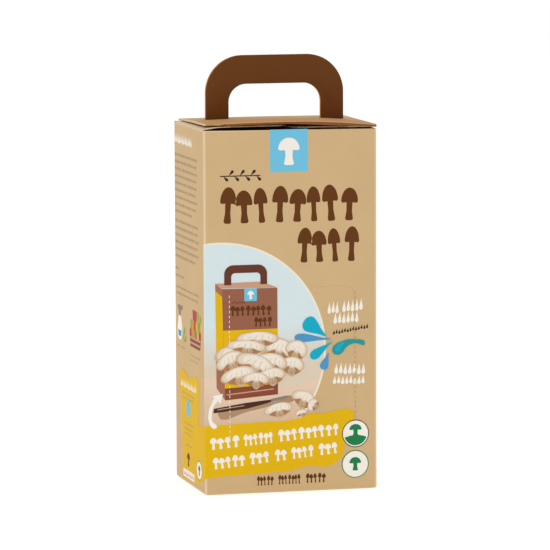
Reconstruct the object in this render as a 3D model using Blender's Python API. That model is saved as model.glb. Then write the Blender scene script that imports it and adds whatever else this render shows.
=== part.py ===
"""Oyster mushroom grow kit: a kraft carton with a pull-up carry handle, and the kit packed inside it.

Row frame: metres, +Z up, origin at the centre of the carton's base. The printed front faces -Y.
The carton is one folded blank of fine corrugated board. Its walls and outer bottom panel are one
solid; every flap that turns on a crease, or lies as a layer of its own, is a solid of its own.
"""

from math import cos, pi, sin

import bmesh
import bpy
from mathutils import Matrix, Vector

MM = 0.001

# Driving dimensions, in millimetres
CARTON_W, CARTON_D, CARTON_H = 117.0, 86.0, 240.0
BOARD = 1.3  # fine corrugated board of the walls and the lid
FLAP_BOARD = 0.9  # the same board where the closed carton presses it flat
GAP = 0.3  # air left between pieces that touch
FOLD_R = 1.2  # outer radius of a folded edge

WINDOW_W, WINDOW_H, WINDOW_Z = 86.0, 106.0, 30.0  # tear-out panel; WINDOW_Z is its lower edge
WINDOW_R = 5.0

REAR_STEP = 1.1  # the rear wall ends this much higher, under the lid's crease
LID_CROWN = 4.4  # how far the lid's front stands up, held there by the flaps under it
LID_TWIST = 0.047  # and how much more it does on the left, for each mm from the middle
LID_STEP_X, LID_STEP_Y = 4.5, 6.6
LID_STEPS_X, LID_STEPS_Y = 26, 13
LID_CORNER = (10.0, 20.0)  # width and depth of the blunted front left corner
HEM_T, HEM_REACH, HEM_HALF_W = 1.0, 9.0, 46.0  # the strip that is folded back under the lid's front

HANDLE_W, HANDLE_TOP = 94.0, 286.4
GRIP_BAR, GRIP_LEG = 19.0, 15.5  # height of the bar and width of each leg
GRIP_OUTER_R, GRIP_INNER_R = 25.0, 12.0
GRIP_T = 3.0  # the handle is folded double, from 1.5 mm board
ARC_STEPS = 10
FLANGE_T = 0.6
FLANGE_STEPS_X, FLANGE_STEPS_Y, FLANGE_Y = 21, 4, -3.3
SLOT_PLAY = 0.5  # free space round a leg in its slot

FLAP_REACH = 57.3  # dust flap, from its crease to its tip
FLAP_CLIMB = {-1: (1.9, 16.0), 1: (1.7, 40.0)}  # how far each flap climbs, over what length
FLAP_HALF_D = 40.8
FLAP_TIP_FRONT, FLAP_TIP_BACK = 39.0, 6.0  # how far the tip reaches towards front and back
REAR_SHARE = 0.4  # how much of its climb a flap makes along its rear edge

BAG_TOP = 172.0
MISTER_R, MISTER_Y = 12.5, -20.0
TURN_STEPS = 28

# Worked out from them
WALL_BACK_TOP = CARTON_H + REAR_STEP
FLAP_Z = CARTON_H + 0.25
LID_Z = WALL_BACK_TOP + GAP  # underside of the lid at its edges
INNER_W, INNER_D = CARTON_W - 2 * BOARD, CARTON_D - 2 * BOARD
LEG_X = (HANDLE_W - GRIP_LEG) / 2
FLANGE_Z = LID_Z - GAP - FLANGE_T

KRAFT = ("kraft_board", (0.60, 0.45, 0.27), 0.82)
BROWN = ("brown_board", (0.125, 0.045, 0.016), 0.62)
FILM = ("grow_bag_film", (0.62, 0.55, 0.42), 0.30)
PAPER = ("leaflet_paper", (0.86, 0.84, 0.78), 0.70)
BOTTLE = ("mister_plastic", (0.80, 0.84, 0.86), 0.35)
CAP = ("mister_cap_plastic", (0.12, 0.50, 0.68), 0.35)


def clear_scene():
    for obj in list(bpy.data.objects):
        bpy.data.objects.remove(obj)


def material(finish):
    """A plain Principled material for (name, colour, roughness), made once and shared."""
    name, colour, roughness = finish
    found = bpy.data.materials.get(name)
    if found:
        return found
    made = bpy.data.materials.new(name)
    made.use_nodes = True
    shader = made.node_tree.nodes["Principled BSDF"]
    shader.inputs["Base Color"].default_value = (*colour, 1.0)
    shader.inputs["Roughness"].default_value = roughness
    return made


def place(name, bm, finish=None):
    """Turns a bmesh drawn in millimetres into a named object. Without a finish it is a cutter."""
    bmesh.ops.remove_doubles(bm, verts=bm.verts, dist=0.001)
    bmesh.ops.recalc_face_normals(bm, faces=bm.faces)
    bmesh.ops.scale(bm, vec=(MM, MM, MM), verts=bm.verts)
    mesh = bpy.data.meshes.new(name)
    bm.to_mesh(mesh)
    bm.free()
    obj = bpy.data.objects.new(name, mesh)
    bpy.context.scene.collection.objects.link(obj)
    if finish:
        mesh.materials.append(material(finish))
    else:
        obj.hide_render = True
        obj.display_type = "WIRE"
    return obj


def combine(obj, other, operation):
    """A live Boolean on obj. The other object becomes a hidden helper."""
    modifier = obj.modifiers.new(other.name, "BOOLEAN")
    modifier.object = other
    modifier.operation = operation
    modifier.solver = "EXACT"
    other.hide_render = True
    other.display_type = "WIRE"


def block(low, high):
    """A bmesh box between two corners."""
    bm = bmesh.new()
    size = Vector(high) - Vector(low)
    middle = (Vector(high) + Vector(low)) / 2
    bmesh.ops.create_cube(bm, size=1, matrix=Matrix.Translation(middle) @ Matrix.Diagonal((*size, 1)))
    return bm


def bevel_where(bm, wanted, width, segments):
    """Rounds the edges for which wanted(edge) is true."""
    edges = [edge for edge in bm.edges if wanted(edge)]
    bmesh.ops.bevel(bm, geom=edges, offset=width, segments=segments, profile=0.5, affect="EDGES")


def prism(outline, thickness, to_space):
    """Extrudes a flat outline of (u, v) points by thickness; to_space(u, v, w) gives a point."""
    bm = bmesh.new()
    face = bm.faces.new([bm.verts.new(to_space(u, v, 0)) for u, v in outline])
    made = bmesh.ops.extrude_face_region(bm, geom=[face])
    step = Vector(to_space(0, 0, thickness)) - Vector(to_space(0, 0, 0))
    moved = [item for item in made["geom"] if isinstance(item, bmesh.types.BMVert)]
    bmesh.ops.translate(bm, vec=step, verts=moved)
    return bm


def arc(centre, radius, start, end, steps=ARC_STEPS):
    """Points on an arc from the angle start to the angle end, in radians."""
    angles = [start + (end - start) * i / steps for i in range(steps + 1)]
    return [(centre[0] + radius * cos(a), centre[1] + radius * sin(a)) for a in angles]


def rounded_rectangle(left, bottom, right, top, radius, steps=4):
    """Corners in order, anticlockwise from the lower right one."""
    return (
        arc((right - radius, bottom + radius), radius, -pi / 2, 0, steps)
        + arc((right - radius, top - radius), radius, 0, pi / 2, steps)
        + arc((left + radius, top - radius), radius, pi / 2, pi, steps)
        + arc((left + radius, bottom + radius), radius, pi, 3 * pi / 2, steps)
    )


def on_front(u, v, w):
    """Outlines drawn on the front wall: u across, v up, w going in from the outer face."""
    return (u, -CARTON_D / 2 + w, v)


# --- The carton -------------------------------------------------------------------------------


def carton_body():
    """Four walls folded from one blank, with the outer bottom panel that closes them."""
    half_w, half_d = CARTON_W / 2, CARTON_D / 2
    walls = block((-half_w, -half_d, 0), (half_w, half_d, WALL_BACK_TOP))
    top = WALL_BACK_TOP - 0.01
    bevel_where(walls, lambda edge: min(v.co.z for v in edge.verts) < top, FOLD_R, 2)
    body = place("carton_body", walls, KRAFT)

    room = block((-INNER_W / 2, -INNER_D / 2, BOARD), (INNER_W / 2, INNER_D / 2, CARTON_H + 20))
    combine(body, place("cut_inside", room), "DIFFERENCE")
    rim = block((-CARTON_W, -CARTON_D, CARTON_H), (CARTON_W, INNER_D / 2, CARTON_H + 30))
    combine(body, place("cut_rim", rim), "DIFFERENCE")
    combine(body, place("cut_window", window_prism(0, 3 * BOARD, -BOARD)), "DIFFERENCE")
    return body


def window_prism(inset, thickness, start):
    """The tear-out panel's outline, taken in by inset, from depth start in the front wall."""
    outline = rounded_rectangle(
        -WINDOW_W / 2 + inset,
        WINDOW_Z + inset,
        WINDOW_W / 2 - inset,
        WINDOW_Z + WINDOW_H - inset,
        WINDOW_R - inset,
    )
    return prism(outline, thickness, lambda u, v, w: on_front(u, v, w + start))


def tear_out_window():
    """The perforated front panel that is torn out so that mushrooms can grow through."""
    return place("tear_out_window", window_prism(GAP, BOARD, 0), KRAFT)


def bottom_flaps():
    """Three flaps folded in above the outer bottom panel, each lying on the one before."""
    reach_x, reach_y = INNER_W / 2 - GAP, INNER_D / 2 - GAP
    first = BOARD + GAP
    second = first + FLAP_BOARD + GAP
    layers = {
        "bottom_inner_flap": ((-reach_x, -reach_y, first), (reach_x, reach_y - 18, first + FLAP_BOARD)),
        "bottom_dust_flap_left": ((-reach_x, -reach_y + 2, second), (-9, reach_y - 2, second + FLAP_BOARD)),
        "bottom_dust_flap_right": ((9, -reach_y + 2, second), (reach_x, reach_y - 2, second + FLAP_BOARD)),
    }
    for name, (low, high) in layers.items():
        flap = block(low, high)
        bevel_where(flap, lambda edge: abs(edge.verts[0].co.z - edge.verts[1].co.z) > 1, 5.0, 1)
        place(name, flap, KRAFT)
    return second + FLAP_BOARD


def glue_flap(floor_z):
    """The strip of the blank that is glued inside the back wall and closes the sleeve."""
    outer_y = INNER_D / 2 - GAP
    left = -INNER_W / 2 + GAP
    low, high = floor_z + GAP, CARTON_H - 8
    taper = 8.0
    outline = [(left, low), (left + 14, low + taper), (left + 14, high - taper), (left, high)]
    strip = prism(outline, FLAP_BOARD, lambda u, v, w: (u, outer_y - w, v))
    place("glue_flap", strip, KRAFT)


def dust_flap(name, side):
    """A top flap that turns on the crease over a side wall, shaped to clear the rising lid."""
    plan = [
        (0, -FLAP_HALF_D),
        (FLAP_REACH, -FLAP_TIP_FRONT),
        (FLAP_REACH, FLAP_TIP_BACK),
        (0, FLAP_HALF_D),
    ]
    bm = bmesh.new()
    rise, ramp = FLAP_CLIMB[side]
    stations = [0.0, 0.25 * ramp, 0.5 * ramp, 0.75 * ramp, ramp, FLAP_REACH]
    rows = []
    for reach in stations:
        share = reach / FLAP_REACH
        front = plan[0][1] + (plan[1][1] - plan[0][1]) * share
        back = plan[3][1] + (plan[2][1] - plan[3][1]) * share
        climb = rise * sin(min(reach / ramp, 1) * pi / 2)
        x = side * (CARTON_W / 2 - reach)
        low, rear_low = FLAP_Z + climb, FLAP_Z + REAR_SHARE * climb
        section = [(front, low), (back, rear_low), (back, rear_low + FLAP_BOARD), (front, low + FLAP_BOARD)]
        rows.append([bm.verts.new((x, y, z)) for y, z in section])
    for row, following in zip(rows, rows[1:]):
        for i in range(4):
            bm.faces.new((row[i], row[(i + 1) % 4], following[(i + 1) % 4], following[i]))
    bm.faces.new(rows[0])
    bm.faces.new(rows[-1])
    return place(name, bm, KRAFT)


# --- The lid and the handle -------------------------------------------------------------------


def lid_lift(x, y):
    """How far the lid stands above its side edges: level along its crease, highest at its front."""
    run = min(max(0.5 - y / CARTON_D, 0.0), 1.0)
    out = min(abs(2 * x / CARTON_W), 1.0)
    bow = LID_CROWN * (1 - out**2.2) ** 0.46 * sin(run * pi / 2) ** 0.72
    return bow - LID_TWIST * x * (1 - out**2) * run


def lid_hem(x, y):
    """How much thicker the lid is where its front strip is folded back under it."""
    return HEM_T if abs(x) < HEM_HALF_W and y < HEM_REACH - CARTON_D / 2 else 0.0


def bowed_sheet(steps_x, steps_y, middle_y, low_z, thickness, hem=lambda x, y: 0.0):
    """A closed sheet that follows the bow of the lid. hem(x, y) thickens it underneath."""
    bm = bmesh.new()
    lower, upper = [], []
    for height, sheet in ((0, lower), (thickness, upper)):
        for i in range(steps_x + 1):
            x = LID_STEP_X * (i - steps_x / 2)
            ys = [middle_y + LID_STEP_Y * (j - steps_y / 2) for j in range(steps_y + 1)]
            zs = [low_z + height + lid_lift(x, y) - (0 if height else hem(x, y)) for y in ys]
            sheet.append([bm.verts.new((x, y, z)) for y, z in zip(ys, zs)])
        for i in range(steps_x):
            for j in range(steps_y):
                bm.faces.new((sheet[i][j], sheet[i + 1][j], sheet[i + 1][j + 1], sheet[i][j + 1]))
    for i in range(steps_x):
        for j in (0, steps_y):
            bm.faces.new((lower[i][j], lower[i + 1][j], upper[i + 1][j], upper[i][j]))
    for j in range(steps_y):
        for i in (0, steps_x):
            bm.faces.new((lower[i][j], lower[i][j + 1], upper[i][j + 1], upper[i][j]))
    return bm


def lid_flap():
    """The top panel, folded over from the back wall and bowed by the flaps and flange under it."""
    sheet = bowed_sheet(LID_STEPS_X, LID_STEPS_Y, -0.1, LID_Z, BOARD, lid_hem)
    lid = place("lid_flap", sheet, KRAFT)
    for name, side in (("left", -1), ("right", 1)):
        half_w, half_d = GRIP_LEG / 2 + SLOT_PLAY, GRIP_T / 2 + SLOT_PLAY
        slot = block((side * LEG_X - half_w, -half_d, CARTON_H), (side * LEG_X + half_w, half_d, CARTON_H + 20))
        combine(lid, place(f"cut_slot_{name}", slot), "DIFFERENCE")
    combine(lid, place("cut_corner", corner_prism()), "DIFFERENCE")
    return lid


def corner_prism():
    """What is missing at the lid's front left corner: an upright three-sided block."""
    width, depth = LID_CORNER
    left, front = -CARTON_W / 2, -CARTON_D / 2
    along = Vector((-width, depth)).normalized() * 5
    on_front, on_side = Vector((left + width, front)) - along, Vector((left, front + depth)) + along
    plan = [on_front, on_side, Vector((left - 10, front - 10))]
    return prism([tuple(p) for p in plan], 20, lambda u, v, w: (u, v, CARTON_H - 5 + w))


def grip_outline(left_foot, right_foot):
    """The U of the handle seen from the front: an outer round-cornered arch and an inner one."""
    half, top = HANDLE_W / 2, HANDLE_TOP
    inner_half, inner_top = half - GRIP_LEG, top - GRIP_BAR
    outer_r, inner_r = GRIP_OUTER_R, GRIP_INNER_R
    return (
        [(half, right_foot)]
        + arc((half - outer_r, top - outer_r), outer_r, 0, pi / 2)
        + arc((-half + outer_r, top - outer_r), outer_r, pi / 2, pi)
        + [(-half, left_foot), (-inner_half, left_foot)]
        + arc((-inner_half + inner_r, inner_top - inner_r), inner_r, pi, pi / 2)
        + arc((inner_half - inner_r, inner_top - inner_r), inner_r, pi / 2, 0)
        + [(inner_half, right_foot)]
    )


def carry_handle():
    """A board grip folded double, with a thin flange that holds it under the lid."""
    feet = [LID_Z - GAP + lid_lift(side * HANDLE_W / 2, 0) - 0.05 for side in (-1, 1)]
    grip = prism(grip_outline(*feet), GRIP_T, lambda u, v, w: (u, w - GRIP_T / 2, v))
    handle = place("carry_handle", grip, BROWN)
    flange = bowed_sheet(FLANGE_STEPS_X, FLANGE_STEPS_Y, FLANGE_Y, FLANGE_Z, FLANGE_T)
    combine(handle, place("add_flange", flange), "UNION")
    return handle


# --- What is packed inside --------------------------------------------------------------------


def grow_bag(floor_z):
    """The block of sawdust and mycelium in its film bag, with the bag's sealed top folded over."""
    rings = [
        (floor_z + GAP, 46.0, 30.0),
        (floor_z + 3.5, 51.0, 35.5),
        (floor_z + 11.0, 54.0, 38.3),
        (60.0, 55.0, 39.2),
        (110.0, 54.6, 39.0),
        (150.0, 54.0, 38.6),
        (BAG_TOP - 9.0, 53.0, 37.5),
        (BAG_TOP - 2.5, 50.0, 34.5),
        (BAG_TOP, 45.0, 29.0),
    ]
    bm = bmesh.new()
    loops = []
    for z, half_x, half_y in rings:
        loop = []
        for i in range(TURN_STEPS):
            angle = 2 * pi * i / TURN_STEPS
            c, s = cos(angle), sin(angle)
            reach = (abs(c) ** 5 + abs(s) ** 5) ** (-1 / 5)  # a square with well-rounded corners
            loop.append(bm.verts.new((half_x * c * reach, half_y * s * reach, z)))
        loops.append(loop)
    close_tube(bm, loops)
    bag = place("grow_bag", bm, FILM)
    fold = block((-47, 4, BAG_TOP - 1.5), (47, 33, BAG_TOP + 4.0))
    bevel_where(fold, lambda edge: True, 1.5, 2)
    combine(bag, place("add_bag_fold", fold), "UNION")
    return bag


def close_tube(bm, loops):
    """Joins rings of equal count into a closed skin."""
    for loop, following in zip(loops, loops[1:]):
        for i in range(len(loop)):
            j = (i + 1) % len(loop)
            bm.faces.new((loop[i], loop[j], following[j], following[i]))
    bm.faces.new(loops[0])
    bm.faces.new(loops[-1])


def instruction_leaflet():
    """A folded sheet lying on the bag's folded top."""
    low_z = BAG_TOP + 4.0 + GAP
    leaflet = block((-46, -1, low_z), (40, 37, low_z + 1.2))
    place("instruction_leaflet", leaflet, PAPER)


def turned(name, profile, finish):
    """A piece turned about the mister's axis, which lies along X. profile is (x, radius) points."""
    bm = bmesh.new()
    axis_z = BAG_TOP + GAP + MISTER_R
    loops = []
    for x, radius in profile:
        angles = [2 * pi * i / TURN_STEPS for i in range(TURN_STEPS)]
        loops.append([bm.verts.new((x, MISTER_Y + radius * cos(a), axis_z + radius * sin(a))) for a in angles])
    close_tube(bm, loops)
    return place(name, bm, finish)


def mister():
    """A finger-pump spray bottle with its overcap on, lying across the kit."""
    base, shoulder, mouth, tip = -48.0, 6.0, 12.0, 46.0
    turned(
        "mister_bottle",
        [(base, 10.5), (base + 1.5, MISTER_R), (shoulder, MISTER_R), (shoulder + 3.5, 10.6), (mouth, 8.0)],
        BOTTLE,
    )
    turned(
        "mister_pump",
        [(mouth + GAP, 10.2), (22.0, 10.2), (23.0, 4.0), (29.0, 4.0), (29.5, 6.6), (38.0, 6.6), (39.0, 5.6)],
        BOTTLE,
    )
    turned(
        "mister_cap",
        [(tip - 1.5, 10.0), (tip - 2.5, 10.6), (14.0, 10.6), (14.0, 12.0), (tip - 1.5, 12.0), (tip, 10.5)],
        CAP,
    )


def build():
    clear_scene()
    carton_body()
    tear_out_window()
    floor_z = bottom_flaps()
    glue_flap(floor_z)
    dust_flap("dust_flap_left", -1)
    dust_flap("dust_flap_right", 1)
    lid_flap()
    carry_handle()
    grow_bag(floor_z)
    instruction_leaflet()
    mister()


build()
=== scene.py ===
# %% [markdown]
# # An oyster mushroom grow kit in its carry carton
#
# A brown board handle comes up through two slots in its lid, and inside stand a bag of growing
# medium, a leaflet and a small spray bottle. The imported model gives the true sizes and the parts
# that move. This script gives every part its surface: the folds, the cut edges, the printing and
# the plies of the handle.

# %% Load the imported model
from math import cos, pi, radians, sin

import bpy
from mathutils import Matrix, Vector


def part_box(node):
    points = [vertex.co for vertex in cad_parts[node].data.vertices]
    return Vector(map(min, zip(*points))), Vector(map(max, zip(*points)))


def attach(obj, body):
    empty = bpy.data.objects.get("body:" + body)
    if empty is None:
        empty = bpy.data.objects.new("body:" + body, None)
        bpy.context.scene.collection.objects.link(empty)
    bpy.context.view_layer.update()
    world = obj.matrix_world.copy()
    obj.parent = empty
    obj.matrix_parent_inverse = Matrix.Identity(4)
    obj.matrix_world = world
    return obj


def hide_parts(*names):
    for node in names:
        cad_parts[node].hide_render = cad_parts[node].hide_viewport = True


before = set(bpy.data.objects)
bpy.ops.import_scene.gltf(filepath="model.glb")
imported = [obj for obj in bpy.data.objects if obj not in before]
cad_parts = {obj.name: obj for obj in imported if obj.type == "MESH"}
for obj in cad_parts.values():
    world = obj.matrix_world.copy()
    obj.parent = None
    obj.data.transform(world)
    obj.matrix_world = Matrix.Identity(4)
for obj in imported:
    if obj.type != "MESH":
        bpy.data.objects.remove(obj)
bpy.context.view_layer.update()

# %% [markdown]
# ## Measures
# Board and print are thought of in millimetres, so the measures are kept in them, read off the
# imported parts. A mesh is placed in metres, and MM is the one number that turns the first into the
# second. The origin is the middle of the carton's base, and the printed front looks towards -Y.

# %% Read the carton's measures
MM = 0.001


def measure(node):
    """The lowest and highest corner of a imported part, in millimetres."""
    low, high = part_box(node)
    return low / MM, high / MM


carton_low, carton_high = measure("carton_body")
window_low, window_high = measure("tear_out_window")
handle_high = measure("carry_handle")[1]
bag_low, bag_high = measure("grow_bag")

WIDTH, DEPTH = (carton_high - carton_low).xy
BOARD = window_high.y - window_low.y  # thickness of the corrugated board
REAR_STEP = 1.1  # the rear wall ends this much above the others, under the lid's crease
REAR_TOP = carton_high.z
HEIGHT = REAR_TOP - REAR_STEP
FOLD_R = 1.2  # outer radius of a folded edge
print(f"carton {WIDTH:.0f} x {DEPTH:.0f} x {HEIGHT:.0f} mm, board {BOARD:.1f} mm")

# %% [markdown]
# ## Camera, floor and light
# A product shot from far away with a long lens keeps the upright edges nearly parallel. The camera
# stands to the left of the front, a little above it. The light is soft and comes from all round:
# the carton stands on an opal table lit from below, and three broad panels add a little shape, the
# largest from the front and left, so the narrow side is a shade lighter than the front.

# %% Set up the camera
CAMERA_TURN, CAMERA_TILT, CAMERA_ROLL = radians(-14.19), radians(83.55), radians(-0.22)
CAMERA_TARGET = Vector((0, 0, 0.120))
CAMERA_DISTANCE, CAMERA_RISE = 2.802, 0.0192
SENSOR, LENS = 36.0, 274.9

turn = (
    Matrix.Rotation(CAMERA_TURN, 4, "Z")
    @ Matrix.Rotation(CAMERA_TILT, 4, "X")
    @ Matrix.Rotation(CAMERA_ROLL, 4, "Z")
)
bpy.ops.object.camera_add()
camera = bpy.context.object
camera.data.lens, camera.data.sensor_width = LENS, SENSOR
camera.data.clip_end = 100
stand_off = Matrix.Translation((0, CAMERA_RISE, CAMERA_DISTANCE))
camera.matrix_world = Matrix.Translation(CAMERA_TARGET) @ turn @ stand_off
bpy.context.scene.camera = camera
print("camera at", [round(value, 3) for value in camera.matrix_world.translation])

# %% A small helper for materials
def add_node(tree, kind, inputs=None, **settings):
    """Adds a shader node. inputs maps a socket's name or number to a value or another node's output."""
    made = tree.nodes.new("ShaderNode" + kind)
    for name, value in settings.items():
        setattr(made, name, value)
    for socket, value in (inputs or {}).items():
        if isinstance(value, bpy.types.NodeSocket):
            tree.links.new(value, made.inputs[socket])
        else:
            made.inputs[socket].default_value = value
    return made


def linear(hex_colour):
    """Turns an sRGB hex colour such as "C8AB7E" into the linear colour that a shader takes."""
    shares = [int(hex_colour[i : i + 2], 16) / 255 for i in (0, 2, 4)]
    return (*(s / 12.92 if s <= 0.04045 else ((s + 0.055) / 1.055) ** 2.4 for s in shares), 1.0)


def new_material(name, **shader_values):
    """A material with its node tree and Principled shader. Values go straight on the shader."""
    made = bpy.data.materials.new(name)
    made.use_nodes = True
    shader = made.node_tree.nodes["Principled BSDF"]
    for socket, value in shader_values.items():
        shader.inputs[socket.replace("_", " ")].default_value = value
    return made, made.node_tree, shader


# %% Lay the floor and place the lights
bpy.ops.mesh.primitive_plane_add(size=60)
floor = bpy.context.object
floor.name = "studio_floor"
floor.location.z = -0.0003  # a hair under the carton, so the two faces stay apart
floor_finish, tree, shader = new_material("opal light table, acrylic", Roughness=0.9, Specular_IOR_Level=0.0)
shader.inputs["Base Color"].default_value = linear("F4F4F3")
shader.inputs["Emission Color"].default_value = linear("FFFFFF")
shader.inputs["Emission Strength"].default_value = 0.49
floor.data.materials.append(floor_finish)

LIGHTS = {
    "key": ((-2.6, -1.2, 1.5), 1.6, 13),
    "fill": ((1.2, -2.6, 1.1), 1.8, 5),
    "top": ((0.1, 0.3, 2.6), 1.6, 11),
}
for name, (place, size, power) in LIGHTS.items():
    bpy.ops.object.light_add(type="AREA", location=place)
    lamp = bpy.context.object
    lamp.name = name + "_light"
    lamp.data.size, lamp.data.energy = size, power
    aim = CAMERA_TARGET - lamp.location
    lamp.rotation_euler = aim.to_track_quat("-Z", "Y").to_euler()

world = bpy.data.worlds.new("studio")
world.use_nodes = True
world.node_tree.nodes["Background"].inputs["Color"].default_value = linear("FFFFFF")
world.node_tree.nodes["Background"].inputs["Strength"].default_value = 0.57
bpy.context.scene.world = world
bpy.context.scene.view_settings.view_transform = "Standard"  # keeps ink and board at their true colours
print("lights:", ", ".join(LIGHTS))

# %% [markdown]
# ## Kraft board and ink
# Kraft board is unbleached paper over a wavy core. Its face shows long brown fibres, a cloudy
# variation a few centimetres across, and the core's waves very faintly, about 3.4 mm apart. Ink is
# printed straight on it, so an inked area keeps the same fibres and only changes colour: one
# function makes bare board and every ink. Where the board is folded, the stretched paper turns paler,
# and from just under the walls' top edges upwards the same paler colour is a painted highlight.

# %% Make the board and ink materials
FLUTE_PITCH = 3.4
FOLD_BAND = 2.0  # width of the paler paper at a fold


def per_metre(size_mm):
    """The scale that gives a pattern features of this size, on coordinates in metres."""
    return 1 / (size_mm * MM)


def board_material(
    name, hex_colour, fibre_contrast=0.05, fold_pale_and_rim_highlight=0.0, roughness=0.72, flutes=0.25, fade=None, specular=0.3
):
    """Uncoated printed kraft: fibres, clouds, faint flute lines, paler paper at the carton's folded corners and a
    painted highlight from just under the walls' top edges upwards.

    fade = (second colour, start, end, axis) changes the colour evenly between two places in mm."""
    made, tree, shader = new_material(name, Roughness=roughness, Specular_IOR_Level=specular)
    place = add_node(tree, "TexCoord").outputs["Object"]
    along = add_node(tree, "Mapping", {"Vector": place, "Scale": (1.0, 1.0, 0.18)}).outputs["Vector"]
    grain = {"Vector": along, "Scale": per_metre(0.5), "Detail": 3.0, "Roughness": 0.6}
    fibres = add_node(tree, "TexNoise", grain)
    clouds = add_node(tree, "TexNoise", {"Vector": place, "Scale": per_metre(28), "Detail": 2.0})
    specks = add_node(tree, "TexNoise", {"Vector": place, "Scale": per_metre(1.1), "Detail": 1.0})
    mixed = add_node(tree, "Math", {0: fibres.outputs["Fac"], 1: clouds.outputs["Fac"]}, operation="ADD")
    swing = {"From Min": 0.6, "From Max": 1.4, "To Min": 1 - fibre_contrast, "To Max": 1 + fibre_contrast}
    tone = add_node(tree, "MapRange", {"Value": mixed.outputs[0], **swing})
    swing = {"From Min": 0.70, "From Max": 0.78, "To Min": 1.0, "To Max": 1 - 2 * fibre_contrast}
    dark = add_node(tree, "MapRange", {"Value": specks.outputs["Fac"], **swing})
    tone = add_node(tree, "Math", {0: tone.outputs["Result"], 1: dark.outputs["Result"]}, operation="MULTIPLY")
    ink = linear(hex_colour)[:3]
    if fade:
        other, low, high, axis = fade
        split = add_node(tree, "SeparateXYZ", {"Vector": place})
        limits = {"Value": split.outputs[axis], "From Min": low * MM, "From Max": high * MM}
        share = add_node(tree, "MapRange", limits).outputs["Result"]
        ink = add_node(tree, "Mix", {0: share, 6: (*ink, 1.0), 7: linear(other)}, data_type="RGBA").outputs[2]
    colour = add_node(tree, "VectorMath", {0: ink, "Scale": tone.outputs[0]}, operation="SCALE").outputs[0]
    if fold_pale_and_rim_highlight:
        split = add_node(tree, "SeparateXYZ", {"Vector": place})
        nearness = []
        for axis, half in (("X", WIDTH / 2), ("Y", DEPTH / 2)):
            size = add_node(tree, "Math", {0: split.outputs[axis]}, operation="ABSOLUTE")
            limits = {"Value": size.outputs[0], "From Min": (half - FOLD_BAND) * MM, "From Max": (half - 0.3) * MM}
            near = add_node(tree, "MapRange", limits, interpolation_type="SMOOTHSTEP")
            nearness.append(near.outputs["Result"])
        corner = add_node(tree, "Math", {0: nearness[0], 1: nearness[1]}, operation="MULTIPLY")
        # From just under the walls' top edges upwards the board takes the same paler colour: a painted highlight.
        limits = {"Value": split.outputs["Z"], "From Min": (HEIGHT - 1.0) * MM, "From Max": (HEIGHT - 0.2) * MM}
        rim = add_node(tree, "MapRange", limits, interpolation_type="SMOOTHSTEP").outputs["Result"]
        corner = add_node(tree, "Math", {0: corner.outputs[0], 1: rim}, operation="MAXIMUM")
        amount = add_node(tree, "Math", {0: corner.outputs[0], 1: fold_pale_and_rim_highlight}, operation="MULTIPLY")
        blend = {0: amount.outputs[0], 6: colour, 7: linear("F2DFBE")}
        colour = add_node(tree, "Mix", blend, data_type="RGBA", clamp_factor=True).outputs[2]
    tree.links.new(colour, shader.inputs["Base Color"])
    ripples = {"Vector": place, "Scale": per_metre(FLUTE_PITCH) / 20, "Distortion": 0.4, "Detail": 1.0}
    waves = add_node(tree, "TexWave", ripples, bands_direction="X")
    height = add_node(tree, "Math", {0: waves.outputs["Fac"], 1: flutes}, operation="MULTIPLY")
    height = add_node(tree, "Math", {0: height.outputs[0], 1: fibres.outputs["Fac"]}, operation="ADD")
    bump = add_node(tree, "Bump", {"Strength": 0.16, "Distance": 0.06 * MM, "Height": height.outputs[0]})
    tree.links.new(bump.outputs["Normal"], shader.inputs["Normal"])
    return made


# The sleeve's board is paler at its folded corners and, as a painted highlight, from just under the walls' top
# edges upwards.
KRAFT = board_material("kraft board, uncoated, folded", "CFAF80", fold_pale_and_rim_highlight=0.55)
KRAFT_INSIDE = board_material("kraft board, inner liner", "B98F5E", fibre_contrast=0.08)
# The lid fades from paler at the rear to darker at the front: painted shade.
KRAFT_LID = board_material("kraft board, handled lid", "CC9556", fibre_contrast=0.09, fade=("D8BB92", -40, 34, "Y"))
# The lid's front band is painted dark brown for the shade under the lid's front edge.
KRAFT_HEM_SHADE = board_material("kraft board, hem, painted shade", "84502A", fibre_contrast=0.14)
# A paler colour for the upper bevel of the lid's front edge: a painted highlight.
KRAFT_FRONT_HIGHLIGHT = board_material("kraft board, painted highlight along the front fold", "DDAA74", fibre_contrast=0.14)
KRAFT_CUT = board_material("kraft board, die-cut edge", "C79456", fibre_contrast=0.18, roughness=0.9, flutes=1.0)
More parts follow.
